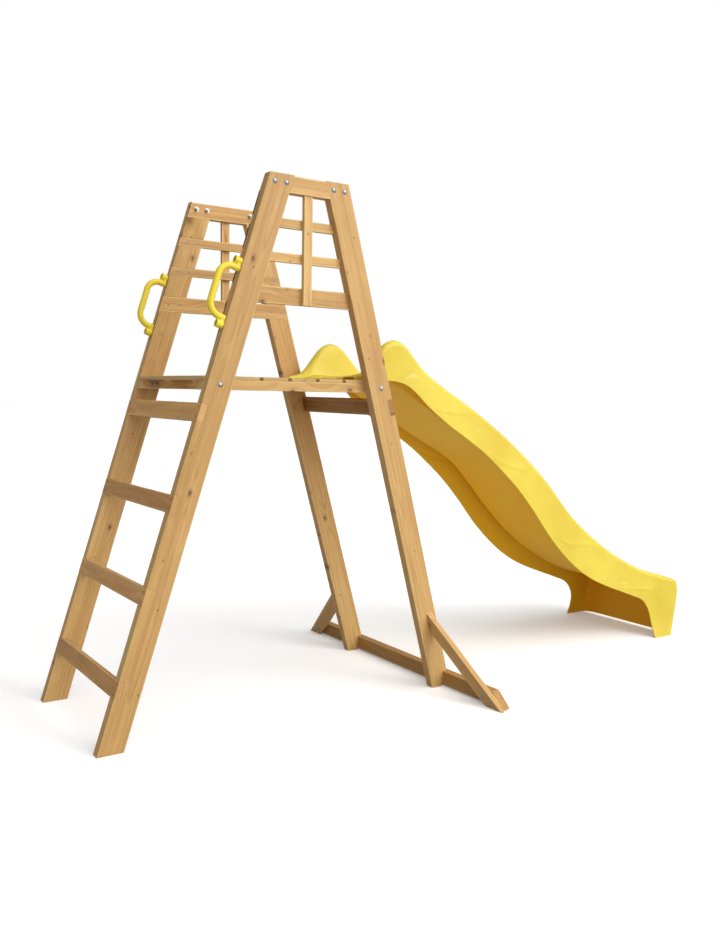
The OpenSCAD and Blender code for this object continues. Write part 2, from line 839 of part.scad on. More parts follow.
front_leg_left();
front_leg_right();
rear_leg_left();
rear_leg_right();
top_rail_left();
top_rail_right();
upper_guard_rail_left();
upper_guard_rail_right();
lower_guard_rail_left();
lower_guard_rail_right();
guard_board_left();
guard_board_right();
guard_batten_left();
guard_batten_right();
platform_rail_left();
platform_rail_right();
ladder_step(0);  // ladder_step_1
ladder_step(1);  // ladder_step_2
ladder_step(2);  // ladder_step_3
ladder_step(3);  // ladder_step_4
deck_slat(0);  // deck_slat_1
deck_slat(1);  // deck_slat_2
deck_slat(2);  // deck_slat_3
deck_slat(3);  // deck_slat_4
deck_slat(4);  // deck_slat_5
deck_slat(5);  // deck_slat_6
rear_cross_board();
base_rail();
brace_left();
brace_right();
slide();
grab_handle_left();
grab_handle_right();
handle_screws();
top_joint_bolts();
top_joint_nuts();
platform_bolts();
platform_nuts();
brace_bolts();
brace_screws();
step_screws();
cross_board_screws();
guard_screws();
slat_screws();
base_rail_screws();
slide_screws();
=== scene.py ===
import math

import bmesh
import bpy
import numpy as np
from mathutils import Matrix, Vector


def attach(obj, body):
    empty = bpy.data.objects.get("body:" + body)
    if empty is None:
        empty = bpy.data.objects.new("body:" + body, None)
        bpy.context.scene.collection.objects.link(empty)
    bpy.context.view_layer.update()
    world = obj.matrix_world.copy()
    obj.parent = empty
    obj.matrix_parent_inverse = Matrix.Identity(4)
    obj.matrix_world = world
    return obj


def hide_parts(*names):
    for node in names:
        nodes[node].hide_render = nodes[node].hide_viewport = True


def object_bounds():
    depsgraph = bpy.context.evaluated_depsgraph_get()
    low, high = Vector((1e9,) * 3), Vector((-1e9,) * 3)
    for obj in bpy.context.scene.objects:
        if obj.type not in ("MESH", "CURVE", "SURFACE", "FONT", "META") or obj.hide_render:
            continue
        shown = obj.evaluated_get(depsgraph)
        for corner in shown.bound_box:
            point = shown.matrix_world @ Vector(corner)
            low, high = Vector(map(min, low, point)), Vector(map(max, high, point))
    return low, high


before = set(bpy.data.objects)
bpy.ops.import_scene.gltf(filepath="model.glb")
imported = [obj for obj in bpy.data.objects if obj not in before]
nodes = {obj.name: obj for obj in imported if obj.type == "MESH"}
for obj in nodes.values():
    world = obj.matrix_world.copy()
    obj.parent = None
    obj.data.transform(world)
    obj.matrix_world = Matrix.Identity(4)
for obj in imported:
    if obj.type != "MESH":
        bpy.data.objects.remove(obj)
cad_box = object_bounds()
scene = bpy.context.scene

# ---------------------------------------------------------------- camera

YAW, PITCH, ROLL = math.radians(56.048), math.radians(9.673), math.radians(1.153)
CAMERA_AT = (2.98168, -2.335985, 1.15742)

back = Vector((math.sin(YAW) * math.cos(PITCH), -math.cos(YAW) * math.cos(PITCH), math.sin(PITCH)))
right = Vector((math.cos(YAW), math.sin(YAW), 0))
up = back.cross(right)
cam_x = math.cos(ROLL) * right + math.sin(ROLL) * up
cam_y = -math.sin(ROLL) * right + math.cos(ROLL) * up
lens = bpy.data.cameras.new("camera")
lens.sensor_width = 36
lens.lens = 34.98
lens.shift_x = 0.0153
lens.shift_y = 0.0878
camera = bpy.data.objects.new("camera", lens)
turned = Matrix((cam_x, cam_y, back)).transposed().to_4x4()
camera.matrix_world = Matrix.Translation(CAMERA_AT) @ turned
scene.collection.objects.link(camera)
scene.camera = camera
scene.view_settings.view_transform = "Standard"


# ---------------------------------------------------------------- shader helper

class Tree:
    """A short way of writing a node tree."""

    def __init__(self, tree):
        self.tree = tree
        tree.nodes.clear()

    def add(self, kind, ins=None, out=0, **settings):
        n = self.tree.nodes.new(kind)
        for k, v in settings.items():
            setattr(n, k, v)
        for k, v in (ins or {}).items():
            s = n.inputs[k]
            if isinstance(v, bpy.types.NodeSocket):
                self.tree.links.new(v, s)
            else:
                s.default_value = v
        return n.outputs[out]

    def math(self, op, a, b=0.0, c=0.0, clamp=False):
        return self.add("ShaderNodeMath", {0: a, 1: b, 2: c}, operation=op, use_clamp=clamp)

    def vec(self, op, a, b):
        return self.add("ShaderNodeVectorMath", {0: a, 1: b}, operation=op)

    def dot(self, a, b):
        return self.add("ShaderNodeVectorMath", {0: a, 1: b}, out="Value", operation="DOT_PRODUCT")

    def split(self, v):
        n = self.tree.nodes.new("ShaderNodeSeparateXYZ")
        self.tree.links.new(v, n.inputs[0])
        return n.outputs[0], n.outputs[1], n.outputs[2]

    def join(self, x, y, z):
        return self.add("ShaderNodeCombineXYZ", {0: x, 1: y, 2: z})

    def step(self, v, low, high, to_low=0.0, to_high=1.0):
        return self.add("ShaderNodeMapRange", {0: v, 1: low, 2: high, 3: to_low, 4: to_high},
                        interpolation_type="SMOOTHSTEP")

    def noise(self, vector, scale=1.0, detail=2.0, rough=0.5, warp=0.0):
        return self.add("ShaderNodeTexNoise", {"Vector": vector, "Scale": scale, "Detail": detail,
                                               "Roughness": rough, "Distortion": warp})

    def cells(self, vector, scale=1.0, dimensions="3D"):
        return self.add("ShaderNodeTexVoronoi", {"Vector": vector, "Scale": scale},
                        voronoi_dimensions=dimensions)

    def mix(self, fac, a, b, mode="MIX"):
        n = self.tree.nodes.new("ShaderNodeMix")
        n.data_type = "RGBA"
        n.blend_type = mode
        for s, v in ((n.inputs[0], fac), (n.inputs[6], a), (n.inputs[7], b)):
            if isinstance(v, bpy.types.NodeSocket):
                self.tree.links.new(v, s)
            else:
                s.default_value = v if isinstance(v, float) else (*v, 1)
        return n.outputs[2]

    def attribute(self, name):
        return self.add("ShaderNodeAttribute", out="Vector", attribute_name=name)

    def bump(self, height, distance, strength):
        return self.add("ShaderNodeBump", {"Height": height, "Distance": distance, "Strength": strength})

    def finish(self, colour, rough, normal, **fixed):
        """The shader and its output, with the fixed values set on the shader's own sockets."""
        n = self.tree.nodes.new("ShaderNodeBsdfPrincipled")
        self.tree.links.new(colour, n.inputs["Base Color"])
        self.tree.links.new(rough, n.inputs["Roughness"])
        self.tree.links.new(normal, n.inputs["Normal"])
        for k, v in fixed.items():
            n.inputs[k.replace("_", " ")].default_value = v
        o = self.tree.nodes.new("ShaderNodeOutputMaterial")
        self.tree.links.new(n.outputs[0], o.inputs[0])
        return n


def material(name):
    """A new material and its empty node tree."""
    m = bpy.data.materials.new(name)
    m.use_nodes = True
    return m, Tree(m.node_tree)


# ---------------------------------------------------------------- materials

# softwood: early and late wood of two boards, and the colours of patches, saw cuts and knots; PALE also
# paints a highlight along the corners
EARLY_A = (0.640, 0.405, 0.148)
EARLY_B = (0.570, 0.345, 0.116)
LATE_A = (0.385, 0.190, 0.054)
LATE_B = (0.350, 0.170, 0.047)
PINK = (0.565, 0.300, 0.112)
PALE = (0.735, 0.505, 0.205)
SAWN_PALE = (0.640, 0.440, 0.195)
SAWN_DARK = (0.340, 0.205, 0.072)
KNOT = (0.085, 0.034, 0.012)
KNOT_EDGE = (0.230, 0.105, 0.034)
# moulded plastic: the unpolished inner skin, painted a deeper orange that stands in for light bounced
# about and let through in its shade, and the pale lines of scuffs
UNDERSIDE_PAINTED_BOUNCE = (0.98, 0.59, 0.022)
SCUFF = (0.90, 0.80, 0.36)
# zinc plate: two spangle tones and its dull patches
ZINC_GREY = (0.62, 0.63, 0.64)
ZINC_PALE = (0.80, 0.80, 0.79)
ZINC_DULL = (0.50, 0.49, 0.45)


def timber_material():
    """Oiled softwood, drawn from each board's own grain direction, size and seed."""
    m, t = material("oiled_softwood")
    grain = t.attribute("grain")
    seed, wide, thick = t.split(t.attribute("board"))
    _, v, w = t.split(grain)
    shift = t.join(t.math("MULTIPLY", seed, 41.3), t.math("MULTIPLY", seed, 17.9),
                   t.math("MULTIPLY", seed, 7.3))

    def stretched(along, across):
        return t.vec("ADD", t.vec("MULTIPLY", grain, (along, across, across)), shift)

    # knots: a few right through a board, and small pin knots
    knot_at = t.vec("ADD", t.vec("MULTIPLY", grain, (2.5, 4.0, 0.6)), shift)
    ragged = t.math("MULTIPLY", t.noise(stretched(60.0, 90.0), 1.0, 2.0), 0.022)
    knot_d = t.math("ADD", t.cells(knot_at, 1.0, "2D"), ragged)
    knot = t.step(knot_d, 0.022, 0.036, 1.0, 0.0)
    knot_ring = t.step(knot_d, 0.03, 0.07, 1.0, 0.0)
    swell = t.step(knot_d, 0.0, 0.30, 1.0, 0.0)
    pin_at = t.vec("ADD", t.vec("MULTIPLY", grain, (5.5, 7.0, 1.5)), shift)
    pin = t.step(t.cells(pin_at, 1.0, "2D"), 0.016, 0.034, 1.0, 0.0)

    # growth rings round a pith that lies under the board and wanders along it
    pick_a = t.math("FRACT", t.math("MULTIPLY", seed, 5.37))
    pick_b = t.math("FRACT", t.math("MULTIPLY", seed, 9.11))
    pith_v = t.math("MULTIPLY", wide, t.math("MULTIPLY_ADD", pick_a, 1.5, -0.25))
    pith_w = t.math("MULTIPLY_ADD", pick_b, -0.06, -0.018)
    dv = t.math("SUBTRACT", v, pith_v)
    dw = t.math("SUBTRACT", w, pith_w)
    radius = t.math("SQRT", t.math("ADD", t.math("MULTIPLY", dv, dv), t.math("MULTIPLY", dw, dw)))
    sway = t.noise(stretched(1.1, 5.0), 1.0, 2.0, 0.5)
    waver = t.noise(stretched(5.0, 26.0), 1.0, 2.0, 0.5)
    radius = t.math("ADD", radius, t.math("MULTIPLY", sway, 0.030))
    radius = t.math("ADD", radius, t.math("MULTIPLY", waver, 0.0035))
    radius = t.math("ADD", radius, t.math("MULTIPLY", swell, 0.007))
    uneven = t.noise(t.join(0.0, 0.0, t.math("MULTIPLY", radius, 90.0)))
    radius = t.math("ADD", radius, t.math("MULTIPLY", uneven, 0.006))
    pitch = t.math("MULTIPLY_ADD", pick_a, 0.0026, 0.0040)
    ring = t.math("FRACT", t.math("DIVIDE", radius, pitch))
    bold = t.noise(stretched(1.3, 14.0), 1.0, 2.0, 0.5)
    late = t.math("MULTIPLY", t.step(ring, 0.35, 0.86), t.step(ring, 0.93, 1.0, 1.0, 0.0))

    streak = t.noise(stretched(1.6, 95.0), 1.0, 3.0, 0.6)
    broad = t.noise(stretched(0.9, 22.0), 1.0, 3.0, 0.55)
    fibre = t.noise(stretched(14.0, 950.0), 1.0, 2.0, 0.6)
    patch = t.noise(stretched(2.2, 11.0), 1.0, 2.0, 0.5)
    blotch = t.noise(stretched(9.0, 30.0), 1.0, 3.0, 0.6)

    tone = t.math("FRACT", t.math("MULTIPLY", seed, 3.71))
    early = t.mix(tone, EARLY_A, EARLY_B)
    dark = t.mix(tone, LATE_A, LATE_B)
    colour = t.mix(t.math("MULTIPLY", late, t.step(bold, 0.3, 0.7, 0.22, 0.55)), early, dark)
    colour = t.mix(t.step(patch, 0.38, 0.66, 0.0, 0.5), colour, PINK)
    colour = t.mix(t.step(streak, 0.32, 0.72, 0.0, 0.36), colour, dark)
    colour = t.mix(t.step(broad, 0.50, 0.74, 0.0, 0.40), colour, dark)
    colour = t.mix(t.step(broad, 0.30, 0.46, 0.35, 0.0), colour, PALE)
    colour = t.mix(t.step(blotch, 0.52, 0.75, 0.0, 0.25), colour, PALE)
    colour = t.mix(t.step(fibre, 0.35, 0.75, 0.0, 0.22), colour, dark)

    # planed corners are painted paler in patches, a painted highlight where light catches them; sawn
    # ends open-grained and speckled
    to_v = t.math("MINIMUM", v, t.math("SUBTRACT", wide, v))
    to_w = t.math("MINIMUM", w, t.math("SUBTRACT", thick, w))
    arris = t.step(t.math("MAXIMUM", to_v, to_w), 0.0012, 0.0058, 1.0, 0.0)
    edge_highlight_breakup = t.noise(stretched(12.0, 60.0), 1.0, 3.0, 0.6)
    # painted highlight: paler patches along the corners
    painted_edge_highlight = t.math("MULTIPLY", arris, t.step(edge_highlight_breakup, 0.3, 0.62, 0.25, 0.85))
    colour = t.mix(painted_edge_highlight, colour, PALE)
    normal = t.add("ShaderNodeNewGeometry", out="Normal")
    end = t.step(t.math("ABSOLUTE", t.dot(normal, t.attribute("axis"))), 0.72, 0.88)
    pores = t.noise(t.vec("ADD", t.vec("MULTIPLY", grain, (600, 600, 600)), shift), 1.0, 2.0, 0.6)
    sawn = t.mix(t.step(pores, 0.35, 0.7), SAWN_PALE, SAWN_DARK)
    colour = t.mix(t.math("MULTIPLY", end, 0.55), colour, sawn)

    colour = t.mix(t.math("MULTIPLY", knot_ring, 0.45), colour, KNOT_EDGE)
    colour = t.mix(t.math("MULTIPLY", knot, 0.72), colour, KNOT)
    colour = t.mix(t.math("MULTIPLY", pin, 0.5), colour, KNOT)
    level = t.math("MULTIPLY_ADD", pick_b, 0.16, 0.92)
    colour = t.mix(1.0, colour, t.join(level, level, level), "MULTIPLY")
    # painted shade: the cross board and the base rail are multiplied darker by their own factor, the
    # steps only warmed
    colour = t.mix(1.0, colour, t.attribute("tint_and_painted_shade"), "MULTIPLY")

    rough = t.math("MULTIPLY_ADD", streak, 0.16, 0.44)
    rough = t.math("ADD", rough, t.math("MULTIPLY", end, 0.2), clamp=True)
    height = t.math("ADD", t.math("MULTIPLY", fibre, 0.5), t.math("MULTIPLY", late, 0.35))
    height = t.math("ADD", height, t.math("MULTIPLY", knot, 0.5))
    height = t.math("ADD", height, t.math("MULTIPLY", t.math("MULTIPLY", end, pores), 0.8))
    t.finish(colour, rough, t.bump(height, 0.0004, 0.7), Specular_IOR_Level=0.35)
    return m


def plastic_material(name, base, deep, rough, scuffs, glow):
    """Moulded plastic in two clouded tones, with scuffs and some light let through."""
    m, t = material(name)
    place = t.attribute("place")
    cloud = t.noise(t.vec("MULTIPLY", place, (3.2, 3.2, 3.2)), 1.0, 3.0, 0.55)
    fine = t.noise(place, 260.0, 2.0, 0.5)
    orange = t.noise(place, 70.0, 2.0, 0.5)
    scratch = t.noise(t.vec("MULTIPLY", place, (420.0, 9.0, 9.0)), 1.0, 3.0, 0.65, 0.3)
    rubbed = t.noise(t.vec("MULTIPLY", place, (16.0, 3.0, 3.0)), 1.0, 3.0, 0.6)
    colour = t.mix(t.step(cloud, 0.3, 0.72, 0.0, 0.75), base, deep)
    # painted light: the inner skin takes a deeper orange for the bounced light in its shade
    colour = t.mix(t.attribute("layer"), colour, UNDERSIDE_PAINTED_BOUNCE)
    marks = t.math("MULTIPLY", t.step(scratch, 0.60, 0.70), t.step(rubbed, 0.45, 0.7, 0.0, scuffs))
    colour = t.mix(t.math("MULTIPLY", marks, 0.35), colour, SCUFF)
    dull = t.math("MULTIPLY_ADD", cloud, 0.12, rough - 0.06)
    dull = t.math("ADD", dull, t.math("MULTIPLY", marks, 0.25), clamp=True)
    dull = t.math("MULTIPLY_ADD", t.attribute("layer"), 0.2, dull, clamp=True)
    height = t.math("ADD", t.math("MULTIPLY", orange, 0.8), t.math("MULTIPLY", fine, 0.2))
    height = t.math("SUBTRACT", height, t.math("MULTIPLY", marks, 0.25))
    t.finish(colour, dull, t.bump(height, 0.0003, 0.5), Specular_IOR_Level=0.32,
             Coat_Weight=0.04, Coat_Roughness=0.3, Subsurface_Weight=glow,
             Subsurface_Radius=(1.0, 0.45, 0.08), Subsurface_Scale=0.012)
    return m


def zinc_material(name, shade):
    """Zinc plate, darkened by the shade."""
    m, t = material(name)
    place = t.add("ShaderNodeTexCoord", out="Object")
    spangle = t.cells(place, 420.0)
    cloud = t.noise(place, 90.0, 3.0, 0.6)
    colour = t.mix(t.step(spangle, 0.1, 0.8), ZINC_GREY, ZINC_PALE)
    colour = t.mix(t.step(cloud, 0.5, 0.8, 0.0, 0.4), colour, ZINC_DULL)
    colour = t.mix(1.0, colour, (shade, shade, shade), "MULTIPLY")
    rough = t.math("MULTIPLY_ADD", cloud, 0.22, 0.26)
    t.finish(colour, rough, t.bump(cloud, 0.0001, 0.6), Metallic=1.0)
    return m


timber = timber_material()
slide_yellow = plastic_material("moulded_yellow", (0.72, 0.585, 0.062), (0.62, 0.43, 0.034),
                                rough=0.38, scuffs=1.0, glow=0.35)
handle_yellow = plastic_material("handle_yellow", (0.78, 0.62, 0.045), (0.73, 0.53, 0.030),
                                 rough=0.42, scuffs=0.3, glow=0.1)
zinc = zinc_material("bright_zinc", 0.52)
dull_zinc = zinc_material("dull_zinc", 0.36)


# ---------------------------------------------------------------- shared mesh helpers

def welded(node):
    """The CAD node's mesh as a closed bmesh, its face corners joined."""
    bm = bmesh.new()
    bm.from_mesh(nodes[node].data)
    bmesh.ops.remove_doubles(bm, verts=bm.verts, dist=1e-5)
    return bm


def meshed(name, bm):
    """A new mesh made from the bmesh, which is freed."""
    me = bpy.data.meshes.new(name)
    bm.to_mesh(me)
    bm.free()
    return me


def placed(name, me, mat, slot, *cad_nodes):
    """Makes an object of the mesh, standing for its CAD nodes."""
    ob = bpy.data.objects.new(name, me)
    scene.collection.objects.link(ob)
    me.materials.clear()
    me.materials.append(mat)
    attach(ob, "root")
    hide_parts(*cad_nodes)
    return ob


def apply_modifiers(ob):
    """Puts the object's modifiers into its mesh."""
    view = bpy.context.evaluated_depsgraph_get()
    me = bpy.data.meshes.new_from_object(ob.evaluated_get(view))
    ob.modifiers.clear()
    ob.data = me


def coords(me):
    """The mesh's points, one a row."""
    co = np.empty(len(me.vertices) * 3)
    me.vertices.foreach_get("co", co)
    return co.reshape(-1, 3)


def store(me, name, values):
    """Keeps a vector for each point of the mesh, for the shaders to read."""
    at = me.attributes.new(name, "FLOAT_VECTOR", "POINT")
    at.data.foreach_set("vector", np.ascontiguousarray(values, np.float32).ravel())


# ---------------------------------------------------------------- timber

X, Y, Z = Vector((1, 0, 0)), Vector((0, 1, 0)), Vector((0, 0, 1))
FRONT_LEAN, REAR_LEAN, BRACE_LEAN = math.radians(18.4), math.radians(16.2), math.radians(14.5)
BRACE_RISE, BRACE_RUN = 0.311, 0.356
# the steps get a warmer tint; the cross board and the base rail are darkened, a painted shade for where
# they lie in shade
STEP_TINT = (1.0, 0.91, 0.84)
CROSS_BOARD_PAINTED_SHADE = (0.66, 0.58, 0.47)
BASE_RAIL_PAINTED_SHADE = (0.80, 0.72, 0.60)
# only edges this long, in metres, and this sharp, in radians, are eased
LONG_ENOUGH, SHARP_ENOUGH = 0.008, 0.6
front_up = Vector((0, math.sin(FRONT_LEAN), math.cos(FRONT_LEAN)))
rear_up = Vector((0, -math.sin(REAR_LEAN), math.cos(REAR_LEAN)))
brace_up = Vector((0, -math.sin(BRACE_LEAN), math.cos(BRACE_LEAN)))
front_in = Vector((0, math.cos(FRONT_LEAN), -math.sin(FRONT_LEAN)))
rear_out = Vector((0, math.cos(REAR_LEAN), math.sin(REAR_LEAN)))
brace_in = Vector((0, math.cos(BRACE_LEAN), math.sin(BRACE_LEAN)))
BRACE_SLOPE = math.atan(BRACE_RISE / math.cos(BRACE_LEAN) / BRACE_RUN)


def board(node, along, wide, seed, soft=0.0025, tint_and_painted_shade=(1, 1, 1)):
    """A CAD board with its corners eased, and what the timber shader needs to know of it."""
    bm = welded(node)
    bmesh.ops.dissolve_limit(bm, angle_limit=0.01, verts=bm.verts, edges=bm.edges)
    bmesh.ops.triangulate(bm, faces=[f for f in bm.faces if len(f.verts) > 4])
    weight = bm.edges.layers.float.new("bevel_weight_edge")
    for e in bm.edges:
        corner = len(e.link_faces) == 2 and e.is_convex and e.calc_face_angle() > SHARP_ENOUGH
        if corner and e.calc_length() > LONG_ENOUGH:
            run = (e.verts[1].co - e.verts[0].co).normalized()
            e[weight] = 1.0 if abs(run.dot(along)) > 0.98 else 0.4
    name = node + "_timber"
    ob = placed(name, meshed(name, bm), timber, "timber", node)
    bevel = ob.modifiers.new("bevel", "BEVEL")
    bevel.limit_method = "WEIGHT"
    bevel.width = soft
    bevel.segments = 3
    bevel.use_clamp_overlap = False
    apply_modifiers(ob)
    me = ob.data
    grain = coords(me) @ np.array([along, wide, along.cross(wide)]).T
    grain[:, 1:] -= grain[:, 1:].min(0)
    size = grain.max(0)
    store(me, "grain", grain)
    for field, value in (("board", (seed, size[1], size[2])), ("axis", along), ("tint_and_painted_shade", tint_and_painted_shade)):
        store(me, field, np.tile(value, (len(grain), 1)))


for side, hand in ((-1, "left"), (1, "right")):
    more = 0.0 if side < 0 else 0.53
    board("front_leg_" + hand, front_up, front_in, 0.137 + more)
    board("rear_leg_" + hand, rear_up, rear_out, 0.281 + more)
    board("top_rail_" + hand, Y, Z, 0.417 + more)
    board("upper_guard_rail_" + hand, Y, Z, 0.593 + more, 0.0018)
    board("lower_guard_rail_" + hand, Y, Z, 0.661 + more, 0.0018)
    board("guard_board_" + hand, Y, Z, 0.719 + more, 0.0020)
    board("guard_batten_" + hand, Z, Y, 0.877 + more, 0.0018)
    board("platform_rail_" + hand, Y, Z, 0.943 + more)
    slope = side * math.cos(BRACE_SLOPE) * X - math.sin(BRACE_SLOPE) * brace_up
    board("brace_" + hand, slope, brace_in.cross(slope), 1.097 + more)
for i in range(4):
    board("ladder_step_%d" % (i + 1), X, front_up, 1.231 + 0.173 * i, 0.0015, STEP_TINT)
for i in range(6):
    board("deck_slat_%d" % (i + 1), X, Y, 2.117 + 0.211 * i, 0.0020)
# painted shade: the cross board and the base rail are darkened by their factors
board("rear_cross_board", X, rear_up, 3.171, 0.0015, CROSS_BOARD_PAINTED_SHADE)
board("base_rail", X, Z, 3.313, tint_and_painted_shade=BASE_RAIL_PAINTED_SHADE)


# ---------------------------------------------------------------- screws, bolts and nuts

def islands(node):
    """The separate solids of a CAD node, each as an array of its points."""
    bm = welded(node)
    left = set(bm.verts)
    found = []
    while left:
        todo = [left.pop()]
        part = []
        while todo:
            v = todo.pop()
            part.append(v.co[:])
            for e in v.link_edges:
                o = e.other_vert(v)
                if o in left:
                    left.discard(o)
                    todo.append(o)
        found.append(np.array(sorted(part)))
    bm.free()
    return sorted(found, key=lambda p: tuple(np.round(p.mean(0), 4)))


ROUND = 24


def screw_into(bm, place, head_r, head_h, shank_r, length, dome, turn):
    """A countersunk or pan head with a cross recess, on a plain shank."""
    a = 0.30 * head_r / 2
    b = 0.62 * head_r
    cross = [(b, -a), (b, a), (a, a), (a, b), (-a, b), (-a, a),
             (-b, a), (-b, -a), (-a, -a), (-a, -b), (a, -b), (a, -a)]

    def vert(x, y, z):
        return bm.verts.new(place @ Vector((x, y, z)))

    def ring(r, z):
        angles = [2 * math.pi * i / ROUND + turn for i in range(ROUND)]
        return [vert(r * math.cos(v), r * math.sin(v), z) for v in angles]

    def outline(z, s):
        c, d = math.cos(turn), math.sin(turn)
        return [vert(s * (x * c - y * d), s * (x * d + y * c), z) for x, y in cross]

    def band(p, q):
        for i in range(len(p)):
            j = (i + 1) % len(p)
            bm.faces.new((p[i], p[j], q[j], q[i]))

    top = ring(head_r * 0.80, dome)
    mouth = outline(dome, 1.0)
    # the flat between the recess and the head's rim, an arc for each of the cross's four quarters
    for q in range(4):
        arc = [top[(q * 6 + i) % ROUND] for i in range(8)]
        m = [mouth[(q * 3 + 1 + i) % 12] for i in range(4)]
        bm.faces.new((m[0], *arc[1:6], m[2], m[1]))
        bm.faces.new((m[2], *arc[5:8], m[3]))
    bottom = outline(dome - 0.5 * head_r, 0.72)
    band(bottom, mouth)
    bm.faces.new(bottom)
    rim = ring(head_r, dome * 0.45)
    band(rim, top)
    edge = ring(head_r, 0.0 if dome > 0.001 else -0.0003)
    band(edge, rim)
    neck = ring(shank_r, -head_h)
    band(neck, edge)
    tail = ring(shank_r, -length)
    band(tail, neck)
    bm.faces.new(tail[::-1])


def looking(axis, at):
    """A placing at the point, with its Z along the axis."""
    z = Vector(axis).normalized()
    x = (X if abs(z.x) < 0.9 else Y).cross(z).normalized()
    return Matrix.Translation(at) @ Matrix((x, z.cross(x), z)).transposed().to_4x4()


def screws(node, out_of, head_r=0.0036, head_h=0.0024, shank_r=0.002, dome=0.0004, seat=0.0):
    """Screws where the CAD node's are, with heads facing out_of(side)."""
    bm = bmesh.new()
    for i, pts in enumerate(islands(node)):
        mid = pts.mean(0)
        axis = Vector(out_of(1 if mid[0] > 0 else -1)).normalized()
        heights = pts @ np.array(axis)
        high, low = heights.max(), heights.min()
        at = Vector(mid) + axis * (high - seat - Vector(mid).dot(axis))
        screw_into(bm, looking(axis, at), head_r, head_h, shank_r, high - seat - low, dome, 1.7 * i)
    bmesh.ops.recalc_face_normals(bm, faces=bm.faces)
    name = node + "_zinc"
    placed(name, meshed(name, bm), dull_zinc, "zinc_steel", node)


screws("step_screws", lambda s: -front_in)
screws("cross_board_screws", lambda s: rear_out)
screws("guard_screws", lambda s: -s * X)
screws("slat_screws", lambda s: Z)
screws("base_rail_screws", lambda s: Y)
screws("brace_screws", lambda s: s * math.sin(BRACE_SLOPE) * X + math.cos(BRACE_SLOPE) * brace_up)
screws("slide_screws", lambda s: Z, head_r=0.006, head_h=0.0, shank_r=0.0025, dome=0.003, seat=0.003)

for fixing in ("top_joint_bolts", "top_joint_nuts", "platform_bolts", "platform_nuts",
               "brace_bolts", "handle_screws"):
    nodes[fixing].data.materials.clear()
    nodes[fixing].data.materials.append(zinc)


# ---------------------------------------------------------------- grab handles

VOXEL = 0.0011


def handle(node):
    """The CAD handle as one moulding: its parts blended into each other with small fillets."""
    name = node + "_moulded"
    ob = placed(name, meshed(name, welded(node)), handle_yellow, "handle_plastic", node)
    skin = ob.modifiers.new("skin", "REMESH")
    skin.mode = "VOXEL"
    skin.voxel_size = VOXEL
    soft = ob.modifiers.new("soft", "SMOOTH")
    soft.factor = 0.5
    soft.iterations = 7
    apply_modifiers(ob)
    ob.data.shade_smooth()
    store(ob.data, "place", coords(ob.data))


handle("grab_handle_left")
handle("grab_handle_right")


# ---------------------------------------------------------------- slide

# millimetres, with distances from the toes of the front legs
MM = 0.001
TOE = cad_box[0][1] / MM
RIM_X, FLOOR_X, SKIRT_X, FOOT_X = 217, 182, 250, 287
LIP_HALF, LIP_BOW, LIP_FRONT, LIP_BACK = 236, 85, 930, 1060
WALL = 5.0
END_BOW, END_ROUND, ARCH, CORNER = 36, 70, 10, 12
SLIDE_END = 2950
PANEL = SLIDE_END - END_BOW
CREASE_HEIGHT, CREASE_WIDTH, CREASE_FADE = 1.6, 5.0, 60
# where the run-out widens, where the end flares, and the half widths of the crest's rounding
RUN_OUT = (2450, 2900)
FLARE = (2780, PANEL)
RIM_ROUND, RIM_IN = 13, 20

# the heights of the crest, of the floor and of the skirts' lower edges, and the bow of the end
rim_line = np.array([
    (930, 1214), (1040, 1226), (1070, 1240), (1110, 1288), (1150, 1332), (1195, 1350), (1240, 1336),
    (1285, 1294), (1340, 1242), (1420, 1193), (1540, 1129), (1650, 1068), (1800, 973), (1950, 864),
    (2050, 780), (2150, 682), (2250, 597), (2400, 496), (2550, 412), (2700, 345), (2850, 302),
    (2915, 281)], float)
floor_line = np.array([
    (930, 1205), (1000, 1205), (1045, 1207), (1110, 1218), (1180, 1209), (1250, 1181), (1350, 1127),
    (1450, 1070), (1550, 1012), (1650, 959), (1750, 910), (1850, 850), (1950, 757), (2050, 653),
    (2150, 560), (2250, 481), (2350, 415), (2450, 360), (2550, 313), (2650, 278), (2750, 254),
    (2850, 243), (2915, 240)], float)
skirt_line = np.array([
    (930, 1200), (1180, 1200), (1240, 1190), (1290, 1160), (1350, 1108), (1450, 1040), (1550, 983),
    (1650, 922), (1750, 848), (1850, 765), (1950, 665), (2050, 554), (2150, 461), (2250, 386),
    (2350, 330), (2450, 289), (2550, 254), (2650, 219), (2712, 194), (2753, 156),
    (2776, 108), (2785, 50), (2788, 0), (2915, 0)], float)
END_TOP = 203
end_line = np.array([(0, 0), (108, 21), (END_TOP, END_BOW)], float)

# raised creases on the skirts: distance and height of the points of each
creases = [
    [(1364, 1107), (1418, 1092), (1497, 1084), (1609, 1084)],
    [(1666, 920), (1737, 886), (1818, 864), (1935, 837)],
    [(2093, 549), (2186, 505), (2343, 492), (2413, 461)],
    [(2517, 277), (2620, 259), (2746, 242), (2864, 238)]]


def line_at(y, p):
    """The smooth line through the points p, read at y."""
    i = int(np.clip(np.searchsorted(p[:, 0], y, "left") - 1, 0, len(p) - 2))
    h = p[i + 1, 0] - p[i, 0]
    u = (y - p[i, 0]) / h

    def grade(j):
        a, b = max(j - 1, 0), min(j + 1, len(p) - 1)
        return (p[b, 1] - p[a, 1]) / (p[b, 0] - p[a, 0])

    flat = p[i, 1] == p[i + 1, 1]
    m0, m1 = (0, 0) if flat else (grade(i) * h, grade(i + 1) * h)
    return ((2 * u ** 3 - 3 * u ** 2 + 1) * p[i, 1] + (u ** 3 - 2 * u ** 2 + u) * m0
            + (3 * u ** 2 - 2 * u ** 3) * p[i + 1, 1] + (u ** 3 - u ** 2) * m1)


